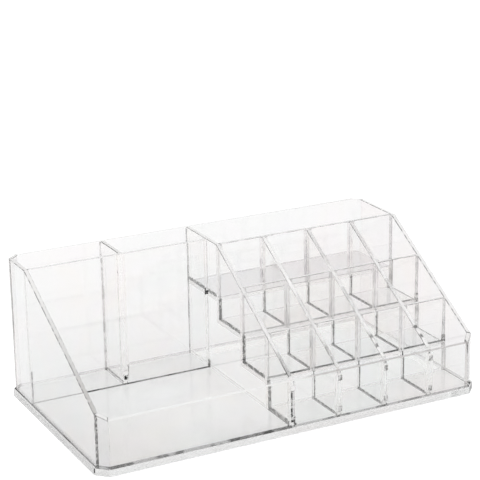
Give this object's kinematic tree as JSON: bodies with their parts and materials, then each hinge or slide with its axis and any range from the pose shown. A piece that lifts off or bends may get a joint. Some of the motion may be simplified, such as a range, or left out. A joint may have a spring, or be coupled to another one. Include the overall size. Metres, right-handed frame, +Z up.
{
  "type": "vanity organizer",
  "caption": "Clear cosmetics organizer: a wide open tray with tall compartments behind it, beside a stepped rack of square slots under a long back compartment.",
  "frame": {"origin": "middle of the base plate's underside", "axes": "+X to the right along the width, +Y from the front panel to the back, +Z up"},
  "size_m": [0.2406, 0.135, 0.085],
  "materials": {
    "clear_base": "polished clear acrylic",
    "clear_outer_sheet": "polished clear acrylic",
    "clear_inner_sheet": "polished clear acrylic",
    "clear_shelf": "polished clear acrylic"
  },
  "bodies": {
    "root": {"base_plate": "clear_base", "front_panel": "clear_outer_sheet", "back_panel": "clear_outer_sheet", "left_side_panel": "clear_outer_sheet", "right_side_panel": "clear_outer_sheet", "front_left_corner_strip": "clear_outer_sheet", "front_right_corner_strip": "clear_outer_sheet", "rear_left_corner_strip": "clear_outer_sheet", "rear_right_corner_strip": "clear_outer_sheet", "rack_side_panel": "clear_inner_sheet", "tray_rear_panel": "clear_inner_sheet", "rear_divider": "clear_inner_sheet", "upper_riser": "clear_inner_sheet", "middle_riser": "clear_inner_sheet", "lower_riser": "clear_inner_sheet", "upper_shelf": "clear_shelf", "middle_shelf": "clear_shelf", "lower_shelf": "clear_shelf", "left_column_divider": "clear_inner_sheet", "centre_column_divider": "clear_inner_sheet", "right_column_divider": "clear_inner_sheet"}
  },
  "joints": []
}
